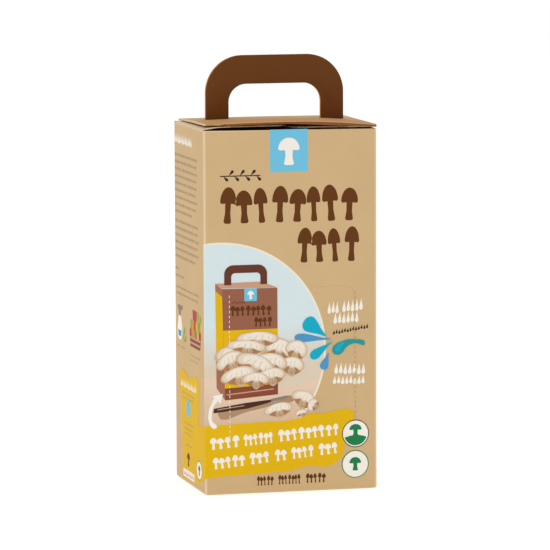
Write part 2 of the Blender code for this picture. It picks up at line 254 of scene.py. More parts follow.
# A darker colour for the dust flaps' cut edges, which lie in the gap under the lid: painted shade.
KRAFT_CUT_SHADE = board_material("kraft board, cut edge, painted shade", "8B6A4E", fibre_contrast=0.18, roughness=0.9)
HANDLE_FACE = board_material(
    "solid board, brown flexo print", "6A3D16", fibre_contrast=0.05, roughness=0.55, flutes=0.1, specular=0.1
)
HANDLE_CUT = board_material("solid board, die-cut edge", "D08A42", fibre_contrast=0.2, roughness=0.9, specular=0.1)
INKS = {
    name: board_material(f"flexo ink on kraft, {name}", colour, fibre_contrast=0.035, roughness=0.62, specular=0.12)
    for name, colour in {
        "sky blue": "70C1DF",
        "title brown": "633711",
        "soft brown": "AC946F",
        "cream": "F3E7CF",
        "white": "F4EEE4",
        "yellow": "E3B508",
        "green": "1F7D4A",
        "dark line": "3A2A1C",
        "teal": "12ABC6",
        "wave blue": "4F97C6",
        "deep teal": "27989A",
        "kit pink": "A8705A",
        "kit brown": "8A4A35",
        "kit edge": "C99C7E",
        "gill brown": "AE7E56",
        "cap tan": "D2B798",
        "cap mid": "E4D4BE",
        "cap cream": "EFE5D6",
        "steel": "8C8078",
        # Dark dashes for the perforation's cut slits: painted shade.
        "painted shade in perforation slits": "A98657",
        "red": "B8434A",
        "orange": "DE8A3A",
        "leaf green": "8FA63C",
        "knife brown": "4A2E22",
        "kit rose": "98614A",
        "handle brown": "66372A",
        "gill deep": "94663F",
        "cap shade": "C9AE8E",
        "table shade": "B08C6C",
    }.items()
}
INKS["wall"] = board_material(
    "flexo ink on kraft, wall", "DECDB6", fibre_contrast=0.03, roughness=0.62, fade=("D6E4E6", 84, 112, "Z")
)
INKS["table"] = board_material(
    "flexo ink on kraft, table", "D4B496", fibre_contrast=0.04, roughness=0.62, fade=("E6CCB2", 44, 72, "Z")
)
print("inks:", len(INKS))

# %% [markdown]
# ## The sleeve of the carton
# The four walls are one folded sheet. A box is rounded along its upright and bottom edges, opened
# at the top, and given the board's thickness with Solidify, so that every wall and fold is equally
# thick, as bent board is. The rear wall is then drawn up a little, to where the lid folds over, and
# the front wall's cut edge is let down a little at its right end, as on a carton filled by hand.

# %% Helpers for editing by place
def only(piece):
    """Makes this piece the one that is selected and active, in object mode."""
    if bpy.context.mode != "OBJECT":
        bpy.ops.object.mode_set(mode="OBJECT")
    bpy.ops.object.select_all(action="DESELECT")
    piece.select_set(True)
    bpy.context.view_layer.objects.active = piece
    return piece


def pick(piece, kind, wanted):
    """Enters edit mode on a piece with the vertices, edges or faces selected that wanted() accepts.

    wanted is called with a list of corner positions in millimetres, and the normal of a face."""
    only(piece)
    bpy.ops.object.mode_set(mode="EDIT")
    bpy.ops.mesh.select_mode(type=kind)
    bpy.ops.mesh.select_all(action="DESELECT")
    bpy.ops.object.mode_set(mode="OBJECT")
    mesh = piece.data
    for item in {"EDGE": mesh.edges, "FACE": mesh.polygons}[kind]:
        corners = [mesh.vertices[i].co / MM for i in item.vertices]
        item.select = wanted(corners, item.normal) if kind == "FACE" else wanted(corners)
    bpy.ops.object.mode_set(mode="EDIT")


def whole(piece):
    """Enters edit mode on a piece with all of it selected."""
    only(piece)
    bpy.ops.object.mode_set(mode="EDIT")
    bpy.ops.mesh.select_mode(type="FACE")
    bpy.ops.mesh.select_all(action="SELECT")


def add_block(name, low, high):
    """A box between two corners in millimetres, with its place in its mesh."""
    low, high = Vector(low) * MM, Vector(high) * MM
    if bpy.context.mode != "OBJECT":
        bpy.ops.object.mode_set(mode="OBJECT")
    bpy.ops.mesh.primitive_cube_add(size=1, location=(low + high) / 2, scale=high - low)
    bpy.ops.object.transform_apply(location=True, rotation=True, scale=True)
    bpy.context.object.name = name
    return bpy.context.object


def modify(piece, kind, **settings):
    """Adds a modifier to a piece and applies it at once."""
    only(piece)
    modifier = piece.modifiers.new(kind.title(), kind)
    for name, value in settings.items():
        setattr(modifier, name, value)
    bpy.ops.object.modifier_apply(modifier=modifier.name)


def cut_away(piece, cutter):
    """Cuts one piece with another, which is used up."""
    modify(piece, "BOOLEAN", object=cutter, operation="DIFFERENCE", solver="EXACT")
    bpy.data.objects.remove(cutter)


def centre(corners):
    return sum(corners, Vector()) / len(corners)


def finish(piece, body, materials, angle=35, replaces=()):
    """Gives a piece its shading, its materials and the body that it rides on."""
    only(piece)
    bpy.ops.object.shade_smooth_by_angle(angle=radians(angle))
    for material in materials:
        if material.name not in piece.data.materials:
            piece.data.materials.append(material)
    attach(piece, body)
    if replaces:
        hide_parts(*replaces)
    print(f"{piece.name}: {len(piece.data.polygons)} faces on {body}")
    return piece


def paint(piece, material, wanted):
    """Gives a piece's chosen faces a material of their own."""
    if material.name not in piece.data.materials:
        piece.data.materials.append(material)
    slot = piece.data.materials.find(material.name)
    for face in piece.data.polygons:
        corners = [piece.data.vertices[i].co / MM for i in face.vertices]
        if wanted(centre(corners), face.normal):
            face.material_index = slot


# %% Fold the sleeve
half_w, half_d = WIDTH / 2, DEPTH / 2
sleeve = add_block("carton_sleeve", (-half_w, -half_d, 0), (half_w, half_d, HEIGHT))
pick(sleeve, "EDGE", lambda ends: min(end.z for end in ends) < HEIGHT - 1)
bpy.ops.mesh.bevel(offset=FOLD_R * MM, segments=5)
pick(sleeve, "FACE", lambda corners, normal: normal.z > 0.9)
bpy.ops.mesh.delete(type="FACE")
modify(sleeve, "SOLIDIFY", thickness=BOARD * MM, offset=-1, use_even_offset=True)


def on_rear_rim(corners, normal):
    """Whether a face is the cut top of the rear wall."""
    behind = min(corner.y for corner in corners) > half_d - BOARD - 0.1
    return normal.z > 0.9 and behind and centre(corners).z > HEIGHT - 1


pick(sleeve, "FACE", on_rear_rim)
REAR_RISE = 0.5  # the rear wall's top once the lid is pressed home on it
bpy.ops.mesh.extrude_region_move(TRANSFORM_OT_translate={"value": (0, 0, REAR_RISE * MM)})
bpy.ops.object.mode_set(mode="OBJECT")
FRONT_DROP = 0.9  # the front wall's cut edge runs down this much towards its right end
for vertex in sleeve.data.vertices:
    x, y, z = vertex.co / MM
    if z > HEIGHT - 1 and y < BOARD + 0.1 - half_d:
        vertex.co.z -= FRONT_DROP * (x / WIDTH + 0.5) * MM

HAIR = 0.05  # the window is cut free by a blade this much wider than itself
WINDOW_R = 4.75  # the window's corner radius
opening = add_block(
    "window_cutter",
    (window_low.x - HAIR, -half_d - 5, window_low.z - HAIR),
    (window_high.x + HAIR, -half_d + 5, window_high.z + HAIR),
)
pick(opening, "EDGE", lambda ends: abs(ends[0].y - ends[1].y) > 5)
bpy.ops.mesh.bevel(offset=WINDOW_R * MM, segments=5)
only(opening)
cut_away(sleeve, opening)
SEAM_W, SEAM_DEEP = 0.35, 0.55
inset = 1.9  # the bottom panel ends this far inside the walls
for low, high in (
    ((-half_w + inset, -half_d + inset, -1), (-half_w + inset + SEAM_W, half_d - inset, SEAM_DEEP)),
    ((half_w - inset - SEAM_W, -half_d + inset, -1), (half_w - inset, half_d - inset, SEAM_DEEP)),
    ((-half_w + inset, -half_d + inset, -1), (half_w - inset, -half_d + inset + SEAM_W, SEAM_DEEP)),
    ((-half_w + inset, half_d - SEAM_DEEP, inset), (-half_w + inset + SEAM_W, half_d + 1, REAR_TOP + 1)),
):
    cut_away(sleeve, add_block("seam", low, high))
sleeve.data.materials.append(KRAFT)
paint(sleeve, KRAFT_INSIDE, lambda c, n: abs(c.x) < half_w - 1 and abs(c.y) < half_d - 1 and c.z > 1)
paint(sleeve, KRAFT_CUT, lambda c, n: n.z > 0.9 and c.z > HEIGHT - 1)
finish(sleeve, "carton", [], replaces=["carton_body"])

# %% Give the plain panels their board
PLAIN = ("tear_out_window", "bottom_inner_flap", "bottom_dust_flap_left", "bottom_dust_flap_right", "glue_flap")
for node in PLAIN:
    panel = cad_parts[node]
    panel.data.materials.clear()
    panel.data.materials.append(KRAFT if node == "tear_out_window" else KRAFT_INSIDE)
print("window and bottom flaps have their board")

# %% [markdown]
# ## The lid and the flaps under it
# The lid is cut flat and then bent: it bows up from its crease and its sides over the flaps beneath
# it, and its front strip is folded back under. So the sheet is modelled flat, with its slots and its
# blunted front left corner, and the bow is put in last. The two dust flaps are made the same way.

# %% Cut and bend the lid
LID_EDGE = HEIGHT + 0.75  # underside of the lid at its side edges
LID_CROWN, FULL_LEFT, FULL_RIGHT = 3.3, 0.25, 1.2  # the bow is fuller on the left than on the right
HEM, HEM_REACH, HEM_LEFT, HEM_RIGHT = 0.6, 9.0, -41.0, 46.0
HEM_SWELL = 1.2  # the hem stands open on the right, thicker by this share
HEM_LIP = 1.5  # right of its end the hem tapers to a lip this deep


def lid_lift(x, y):
    """How far the lid stands above its side edges: level along its crease, highest at its front."""
    run = min(max(0.5 - y / DEPTH, 0.0), 1.0)
    out = min(abs(2 * x / WIDTH), 1.0)
    across = (1 - out**2) ** (FULL_LEFT if x < 0 else FULL_RIGHT)
    return LID_CROWN * across * sin(run * pi / 2) ** 0.72


def bow(piece, base, lift=lid_lift):
    """Bends a flat sheet, drawn with its underside at height 0, to the lid's bow above base."""
    for vertex in piece.data.vertices:
        x, y, z = vertex.co / MM
        vertex.co.z = (z + base + lift(x, y)) * MM


def add_sheet(name, low, high, thickness, cell=2.25):
    """A flat sheet of board with its underside at height 0, in cells small enough to bend."""
    (x0, y0), (x1, y1) = low, high
    only(sleeve)
    bpy.ops.mesh.primitive_grid_add(
        size=1, x_subdivisions=round((x1 - x0) / cell), y_subdivisions=round((y1 - y0) / cell)
    )
    sheet = bpy.context.object
    sheet.name = name
    sheet.scale = ((x1 - x0) * MM, (y1 - y0) * MM, 1)
    sheet.location = ((x0 + x1) / 2 * MM, (y0 + y1) / 2 * MM, thickness * MM)
    bpy.ops.object.transform_apply(location=True, rotation=True, scale=True)
    return sheet


GRIP_T = 3.0  # the handle is folded double
LEG_W = 15.5
HALF_GRIP = 47.0
LEG_X = HALF_GRIP - LEG_W / 2
SIDE_INSET = 3.0  # the lid's left edge lies this far inside the fold of the flap under it
lid = add_sheet("lid_panel", (-half_w + SIDE_INSET, -half_d), (half_w, half_d - 0.06), BOARD)
corner_x, corner_y = 12.5, 32.0  # the blunted corner's size
whole(lid)
bpy.ops.mesh.bisect(
    plane_co=((corner_x - half_w) * MM, -half_d * MM, 0),
    plane_no=(-corner_y, -corner_x, 0),
    clear_outer=True,
)
modify(lid, "SOLIDIFY", thickness=BOARD * MM, offset=-1)
half_slot, slot_deep = LEG_W / 2 + 0.4, GRIP_T / 2 + 0.4
for side in (-1, 1):
    middle = side * LEG_X
    cut_away(lid, add_block("slot", (middle - half_slot, -slot_deep, -5), (middle + half_slot, slot_deep, 5)))


def in_hem(spot):
    """Whether a spot on the lid's underside is covered by the hem."""
    reach = HEM_REACH if spot.x < HEM_RIGHT else HEM_LIP
    return spot.x > HEM_LEFT and spot.y < reach - half_d


pick(lid, "FACE", lambda corners, normal: normal.z < -0.9 and in_hem(centre(corners)))
bpy.ops.mesh.extrude_region_move(TRANSFORM_OT_translate={"value": (0, 0, -HEM * MM)})


def on_front_fold(ends):
    """Whether an edge runs along the top or the bottom of the lid's front."""
    return all(end.y < 0.01 - half_d and (end.z > BOARD - 0.01 or end.z < 0.01 - HEM) for end in ends)


pick(lid, "EDGE", on_front_fold)
bpy.ops.mesh.bevel(offset=0.8 * MM, segments=4)
modify(lid, "BEVEL", width=0.15 * MM, segments=2, limit_method="ANGLE", angle_limit=radians(50))
SWELL_END = 52.0  # the hem is thickest halfway from the lid's middle to here
for vertex in lid.data.vertices:
    if vertex.co.z < 0:
        vertex.co.z *= 1 + HEM_SWELL * sin(pi * min(max(vertex.co.x / MM / SWELL_END, 0), 1))
bow(lid, LID_EDGE)
lid.data.materials.append(KRAFT_LID)
paint(lid, KRAFT_INSIDE, lambda c, n: n.z < -0.6)
paint(lid, KRAFT_CUT, lambda c, n: abs(n.z) < 0.35)
# The lid's left cut edge takes the paler face board instead of the cut-edge colour: painted light that softens the
# shadow in the seam over the flap.
paint(lid, KRAFT, lambda c, n: n.x < -0.7 and c.x < SIDE_INSET + 0.5 - half_w)
# The lid's front band takes the painted shade.
paint(lid, KRAFT_HEM_SHADE, lambda c, n: n.y < -0.3 and n.z < 0.3 and c.y < 1 - half_d)
# The upper bevel of the lid's front edge takes the painted highlight.
paint(lid, KRAFT_FRONT_HIGHLIGHT, lambda c, n: n.y < -0.2 and n.z >= 0.3 and c.y < 1 - half_d)
finish(lid, "lid", [], replaces=["lid_flap"])

# %% Cut and bend the dust flaps
FLAP_T, FLAP_BASE = 0.6, HEIGHT + 0.05
FLAP_HALF_D, FLAP_REACH, TIP_BACK = 40.6, 57.3, 6.0
REAR_SHARE = 0.4  # how much of its climb a flap makes along its rear edge
NOSE, SPRING_RAMP = 16.0, 12.0  # the front of a flap springs up against the lid over these lengths
FLAPS = (("dust_flap_left", -1, 1.5, 14.0, 0.25), ("dust_flap_right", 1, 0.4, 44.0, 0.0))
for name, side, climb, ramp, spring in FLAPS:

    def flap_lift(x, y):
        reach = half_w - abs(x)
        share = reach / FLAP_REACH
        front, back = -FLAP_HALF_D + 1.8 * share, FLAP_HALF_D + (TIP_BACK - FLAP_HALF_D) * share
        rear = min(max((y - front) / (back - front), 0.0), 1.0)
        nose = max(0.0, 1 - (y - front) / NOSE) ** 1.5
        spring_up = spring * nose * (1 + 0.5 * share) * sin(min(reach / SPRING_RAMP, 1) * pi / 2)
        climbed = climb * (1 - rear * (1 - REAR_SHARE)) * sin(min(reach / ramp, 1) * pi / 2)
        return climbed + spring_up

    inner, outer = sorted((side * (half_w - FLAP_REACH), side * half_w))
    flap = add_sheet(name + "_panel", (inner, -FLAP_HALF_D), (outer, FLAP_HALF_D), FLAP_T)
    whole(flap)
    bpy.ops.mesh.bisect(
        plane_co=(side * half_w * MM, FLAP_HALF_D * MM, 0),
        plane_no=(-side * (FLAP_HALF_D - TIP_BACK), FLAP_REACH, 0),
        clear_outer=True,
    )
    for across, along in ((side * (half_w - FLAP_REACH + 5), -FLAP_HALF_D), (side * (half_w - 3), FLAP_HALF_D)):
        whole(flap)
        lean = (-side * 5, -5, 0) if along < 0 else (side * 3, 3, 0)
        bpy.ops.mesh.bisect(plane_co=(across * MM, along * MM, 0), plane_no=lean, clear_outer=True)
    modify(flap, "SOLIDIFY", thickness=FLAP_T * MM, offset=-1)
    modify(flap, "BEVEL", width=0.12 * MM, segments=2, limit_method="ANGLE", angle_limit=radians(50))
    bow(flap, FLAP_BASE, flap_lift)
    flap.data.materials.append(KRAFT)
    paint(flap, KRAFT_INSIDE, lambda c, n: n.z < -0.6)
    # The flaps' front cut edges take the painted shade of the gap under the lid.
    paint(flap, KRAFT_CUT_SHADE, lambda c, n: abs(n.z) < 0.35 and abs(c.x) < 40)
    finish(flap, "flap_left" if side < 0 else "flap_right", [], replaces=[name])

# %% [markdown]
# ## The carry handle
# The handle is folded double, so two plies of board lie face to face. Each ply is printed brown on
# its outer side only, and its die-cut edge stays bare. The outline is drawn once as a flat curve,
# with arcs for its corners, turned into a mesh and used for both plies.

# %% A helper that turns flat outlines into slabs
def add_slab(name, outlines, low, high):
    """A slab of material over flat outlines in millimetres, from height low to height high.

    An outline is (points, rounded): a rounded one is a smooth curve through its points."""
    drawing = bpy.data.curves.new(name, "CURVE")
    drawing.dimensions, drawing.fill_mode = "2D", "BOTH"
    drawing.extrude = (high - low) / 2 * MM
    drawing.resolution_u = 5
    for points, rounded in outlines:
        spline = drawing.splines.new("BEZIER" if rounded else "POLY")
        spline.use_cyclic_u = True
        if rounded:
            spline.bezier_points.add(len(points) - 1)
            for knot, (u, v) in zip(spline.bezier_points, points):
                knot.co = (u * MM, v * MM, 0)
                knot.handle_left_type = knot.handle_right_type = "AUTO"
        else:
            spline.points.add(len(points) - 1)
            for knot, (u, v) in zip(spline.points, points):
                knot.co = (u * MM, v * MM, 0, 1)
    slab = bpy.data.objects.new(name, drawing)
    bpy.context.scene.collection.objects.link(slab)
    only(slab)
    bpy.ops.object.convert(target="MESH")
    slab = bpy.context.object
    slab.data.transform(Matrix.Translation((0, 0, (low + high) / 2 * MM)))
    whole(slab)
    bpy.ops.mesh.remove_doubles(threshold=0.002 * MM)
    bpy.ops.mesh.normals_make_consistent(inside=False)
    bpy.ops.object.mode_set(mode="OBJECT")
    return slab


def arc(u, v, radius, start, end, steps=12):
    """Points along an arc about (u, v), between two angles in degrees."""
    angles = [radians(start + (end - start) * i / steps) for i in range(steps + 1)]
    return [(u + radius * cos(a), v + radius * sin(a)) for a in angles]


# %% Fold the handle
BAR_H, OUTER_R, INNER_R = 19.0, 25.0, 12.0
foot_z = LID_EDGE + 1.95
top_z = handle_high.z
inner_half, inner_top = HALF_GRIP - LEG_W, top_z - BAR_H
grip_outline = (
    [(HALF_GRIP, foot_z)]
    + arc(HALF_GRIP - OUTER_R, top_z - OUTER_R, OUTER_R, 0, 90, 20)
    + arc(OUTER_R - HALF_GRIP, top_z - OUTER_R, OUTER_R, 90, 180, 20)
    + [(-HALF_GRIP, foot_z), (-inner_half, foot_z)]
    + arc(INNER_R - inner_half, inner_top - INNER_R, INNER_R, 180, 90)
    + arc(inner_half - INNER_R, inner_top - INNER_R, INNER_R, 90, 0)
    + [(inner_half, foot_z)]
)
PLY_GAP = 0.12
STAND_UP = Matrix.Rotation(radians(90), 4, "X")  # turns a flat drawing to face the front
for name, inner, outer in (
    ("handle_front_ply", PLY_GAP / 2, GRIP_T / 2),
    ("handle_rear_ply", -GRIP_T / 2, -PLY_GAP / 2),
):
    ply = add_slab(name, [(grip_outline, False)], inner, outer)
    modify(ply, "BEVEL", width=0.22 * MM, segments=2, limit_method="ANGLE", angle_limit=radians(50))
    ply.data.transform(STAND_UP)
    ply.data.materials.append(HANDLE_FACE)
    paint(ply, HANDLE_CUT, lambda c, n: abs(n.y) < 0.3)
    finish(ply, "lid", [], angle=40, replaces=["carry_handle"])

FLANGE_T = 0.5
flange = add_sheet("handle_flange", (-47.8, -16.5), (47.8, 9.9), FLANGE_T)
modify(flange, "SOLIDIFY", thickness=FLANGE_T * MM, offset=-1)
bow(flange, LID_EDGE - FLANGE_T - 0.05)
finish(flange, "lid", [KRAFT_INSIDE])

# %% [markdown]
# ## Printing on the sleeve
# The real sheet is printed flat and folded afterwards, and the printing here is made the same way.
# An outline is drawn in millimetres on the unfolded sleeve, turned into a film of ink a few
# hundredths of a millimetre proud of the board, and then folded round the carton, so that a shape
# that runs over a corner bends with it. Each film is a real shape, so its edge stays sharp.

# %% Unfold the sleeve and print on it
FRONT, LEFT, RIGHT, BACK = "front", "left", "right", "back"
corner_run = FOLD_R * pi / 2
to_side = WIDTH / 2 - FOLD_R + corner_run + DEPTH / 2 - FOLD_R
to_back = to_side + DEPTH / 2 - FOLD_R + corner_run + WIDTH / 2 - FOLD_R
PANEL_MIDDLE = {FRONT: 0.0, LEFT: -to_side, RIGHT: to_side, BACK: to_back}
FILM_STEP = 0.04  # each layer of ink stands this much above the one below


def folded(run, proud):
    """Where a point lies in plan, run mm round the sleeve from the front's middle and proud mm out."""
    side = 1 if run >= 0 else -1
    left_over, heading = abs(run), 0.0
    x, y = 0.0, -DEPTH / 2
    for flat in (WIDTH / 2 - FOLD_R, DEPTH - 2 * FOLD_R, WIDTH - 2 * FOLD_R):
        step = min(left_over, flat)
        x, y = x + step * cos(heading), y + step * sin(heading)
        left_over -= step
        if left_over <= 0:
            break
        bend = min(left_over / FOLD_R, pi / 2)
        x += FOLD_R * (sin(heading + bend) - sin(heading))
        y += FOLD_R * (cos(heading) - cos(heading + bend))
        left_over -= FOLD_R * pi / 2
        heading += bend
        if left_over <= 0:
            break
    return side * (x + proud * sin(heading)), y - proud * cos(heading)


def fold_round(piece):
    """Folds a flat drawing, whose x runs round the sleeve and y up it, onto the carton."""
    for crease in (WIDTH / 2 - FOLD_R, WIDTH / 2 - FOLD_R + DEPTH - 2 * FOLD_R + corner_run):
        for i in range(6):
            for side in (-1, 1):
                run = side * (crease + i / 5 * corner_run)
                whole(piece)
                bpy.ops.mesh.bisect(plane_co=(run * MM, 0, 0), plane_no=(1, 0, 0))
    bpy.ops.object.mode_set(mode="OBJECT")
    for vertex in piece.data.vertices:
        run, up, proud = vertex.co / MM
        x, y = folded(run, proud)
        vertex.co = (x * MM, y * MM, up * MM)


def shifted(outlines, panel):
    middle = PANEL_MIDDLE[panel]
    return [([(u + middle, v) for u, v in points], rounded) for points, rounded in outlines]


def print_ink(name, ink, outlines, panel=FRONT, layer=1):
    """Prints outlines in one ink on a panel, as one piece that rides on the carton."""
    film = add_slab(name, shifted(outlines, panel), -0.05, FILM_STEP * layer)
    fold_round(film)
    return finish(film, "carton", [INKS[ink]], angle=30)


def print_picture(name, layers, panel=FRONT, first_layer=2.0, step=0.3):
    """Prints a picture as one piece: a list of (ink, outlines), each a little proud of the last."""
    films = []
    for i, (ink, outlines) in enumerate(layers):
        film = add_slab(name, shifted(outlines, panel), -0.05, FILM_STEP * (first_layer + step * i))
        film.data.materials.append(INKS[ink])
        films.append(film)
    only(films[0])
    for film in films:
        film.select_set(True)
    bpy.ops.object.join()
    picture = bpy.context.object
    picture.name = name
    fold_round(picture)
    return finish(picture, "carton", [], angle=30)


# %% Shapes that the printing repeats
def box_outline(left, bottom, right, top):
    return [(left, bottom), (right, bottom), (right, top), (left, top)], False


def disc(u, v, radius, steps=48):
    return arc(u, v, radius, 0, 360 - 360 / steps, steps - 1), False


def tilted(points, u, v, angle, scale=1.0):
    """Outline points turned by an angle in degrees, scaled and moved to (u, v)."""
    c, s = cos(radians(angle)) * scale, sin(radians(angle)) * scale
    return [(u + c * x - s * y, v + s * x + c * y) for x, y in points]


def mushroom(u, v, height, width, lean=0.0):
    """A plain mushroom: a domed cap on a stem, standing with its foot at (u, v)."""
    brim = 0.58 * height
    stem = 0.18 * width
    dome = [(-width / 2 * cos(radians(t)), brim + (height - brim) * sin(radians(t))) for t in range(0, 181, 12)]
    under = [(width * 0.42, brim - 0.045 * height), (stem, brim - 0.03 * height), (stem * 0.9, 0.3 * height)]
    foot = [(stem * 1.3, 0.04 * height), (stem * 0.8, 0.0)]
    right = under + foot
    left = [(-x, y) for x, y in reversed(right)]
    return tilted(dome + right + left, u, v, lean), False


def mushroom_row(left, right, v, height, count, slant=0.0, width=0.62):
    """A row of plain mushrooms, no two neighbours alike. slant is the row's slope in degrees."""
    pitch = (right - left) / count
    row = []
    for i in range(count):
        u = left + pitch * (i + 0.5)
        base = v + (u - left) * sin(radians(slant))
        tall = height * (1.0, 0.9, 0.96)[i % 3]
        wide = min(pitch * 0.92, height * width) * (1.0, 0.86, 1.06)[(i * 2) % 3]
        row.append(mushroom(u, base, tall, wide, slant + (-3, 2, 4, -2)[i % 4]))
    return row


def drop(tip, end, width):
    """A splash of water: pointed at its tip, round at its end."""
    tip, end = Vector(tip), Vector(end)
    along = end - tip
    across = Vector((-along.y, along.x)).normalized() * width / 2
    sides = [(0.0, 0.03), (0.3, 0.38), (0.6, 0.85), (0.82, 1.0), (0.96, 0.6)]
    one = [tip + along * t + across * w for t, w in sides]
    other = [tip + along * t - across * w for t, w in reversed(sides)]
    return [tuple(p) for p in one + [end] + other], True


def drop_row(left, right, v, height, count, slant=0.0):
    """A row of small upright drops."""
    pitch = (right - left) / count
    row = []
    for i in range(count):
        u = left + pitch * (i + 0.5)
        base = v + (u - left) * sin(radians(slant)) + (0.0, 0.35, -0.2)[i % 3]
        row.append(drop((u + 0.4, base + height), (u, base), min(pitch * 0.8, height * 0.5)))
    return row


def rules(left, rights, top, pitch, thickness):
    """Broken rules where small print would be, one for each right-hand end in rights."""
    strokes = []
    for i, right in enumerate(rights):
        u, v, count = left, top - i * pitch, i
        while u < right - 1:
            stroke = min((5.2, 3.1, 6.4, 2.2, 4.3, 7.0, 1.6)[(count * 3 + i) % 7], right - u)
            strokes.append(box_outline(u, v - thickness, u + stroke, v))
            u += stroke + 1.3
            count += 1
    return strokes


print("shapes ready")

# %% [markdown]
# ### The front panel
# The front carries a blue tag, two rows of plain brown mushrooms, a round picture that runs off the
# left edge, a splash of water, a brushed yellow band and two plain round seals.

# %% Print the tag and the two rows of mushrooms
print_ink("print_tag", "sky blue", [box_outline(-13.9, 212, 11.7, HEIGHT - 0.05)])
print_ink("print_tag_mark", "white", [mushroom(-1.1, 216.5, 18, 14.5)], layer=2)
title = mushroom_row(-48.8, 45.4, 179, 24, 8) + mushroom_row(3.4, 46.4, 152, 23, 4)
print_ink("print_title", "title brown", title)
sprig = [box_outline(-47.5, 209.8, -20.5, 210.5)]
for i in range(7):
    root = (-45.5 + 3.7 * i, 210.2)
    sprig.append(drop(root, (root[0] + 3.2, root[1] + (3.6 if i % 2 else -3.2)), 1.9))
print_ink("print_sprig", "dark line", sprig[:1])
print_ink("print_sprig_leaves", "dark line", sprig[1:], layer=1.2)

# %% Print the round picture's ground
RING = (-48.2, 95.0, 71.8)  # centre and radius of the round picture
RING_LINE = 1.3
CORNER = -WIDTH / 2 - 0.9  # the picture runs just over the corner
FLOOR_V = 30.0  # the picture ends under the brushed band


def cut_disc(radius):
    """The round picture's outline, cut off by the carton's corner and hidden by the band below it."""
    u, v, _ = RING
    points = [p for p in arc(u, v, radius, -66, 98, 90) if p[0] > CORNER and p[1] > FLOOR_V]
    return [(CORNER, FLOOR_V)] + points + [(CORNER, points[-1][1])], False


print_ink("print_ring", "cream", [cut_disc(RING[2])])
print_ink("print_ring_wall", "wall", [cut_disc(RING[2] - RING_LINE)], layer=2)
table_edge = [(CORNER, 78.0), (-36, 75.5), (-20, 71.5), (-8, 69.5), (6, 71.0), (14, 74.0)]
table_rim = arc(*RING[:2], RING[2] - RING_LINE, -16, -66, 40)
table_side = [p for p in table_rim if p[1] > FLOOR_V]
print_ink("print_ring_table", "table", [([(CORNER, FLOOR_V)] + table_edge + table_side, False)], layer=3)

# %% Print the small kit in the picture
kit_side = [(-51.2, 139.8), (-46.6, 136.1), (-44.9, 62.6), (-50.6, 70.9)]
kit_side_yellow = [(-51.1, 135.0), (-46.6, 131.0), (-45.6, 84.0), (-50.8, 89.0)]
kit_face = [(-46.6, 136.1), (-9.3, 135.9), (-9.1, 65.3), (-44.9, 62.6)]
kit_lid = [(-51.2, 139.8), (-46.6, 136.5), (-9.3, 136.1), (-20.2, 140.4)]
kit_yellow = [(-46.0, 108.7), (-9.2, 109.0), (-9.2, 71.5), (-45.0, 69.5)]
kit_handle = (
    [(-45.1, 138.6)]
    + arc(-39.1, 145.6, 6.0, 180, 90, 8)
    + arc(-22.2, 145.6, 6.0, 90, 0, 8)
    + [(-16.2, 138.6), (-20.7, 138.6)]
    + arc(-23.2, 143.9, 2.5, 0, 90, 5)
    + arc(-37.9, 143.9, 2.5, 90, 180, 5)
    + [(-40.4, 138.6)]
)
print_picture(
    "print_small_kit",
    [
        ("kit edge", [(kit_lid, False)]),
        ("kit pink", [(kit_side, False)]),
        ("yellow", [(kit_side_yellow, False)]),
        ("kit rose", [(kit_face, False)]),
        ("yellow", [(kit_yellow, False)]),
        ("kit brown", [([(-45.0, 70.4), (-9.2, 72.4), (-9.1, 65.3), (-44.9, 62.6)], False)]),
        ("kit edge", [([(-44.0, 66.6), (-12.0, 69.4), (-12.0, 68.6), (-44.0, 65.8)], False)]),
        ("handle brown", [(kit_handle, False)]),
        ("sky blue", [box_outline(-31.6, 127.7, -23.2, 136.0)]),
        ("white", [mushroom(-27.4, 129.0, 5.4, 4.4)]),
        ("title brown", mushroom_row(-41.4, -13.4, 118.2, 6.6, 8) + mushroom_row(-25.4, -13.0, 110.6, 6.4, 4)),
        ("title brown", drop_row(-40.6, -31.0, 126.3, 1.3, 7)),
    ],
    first_layer=4,
)

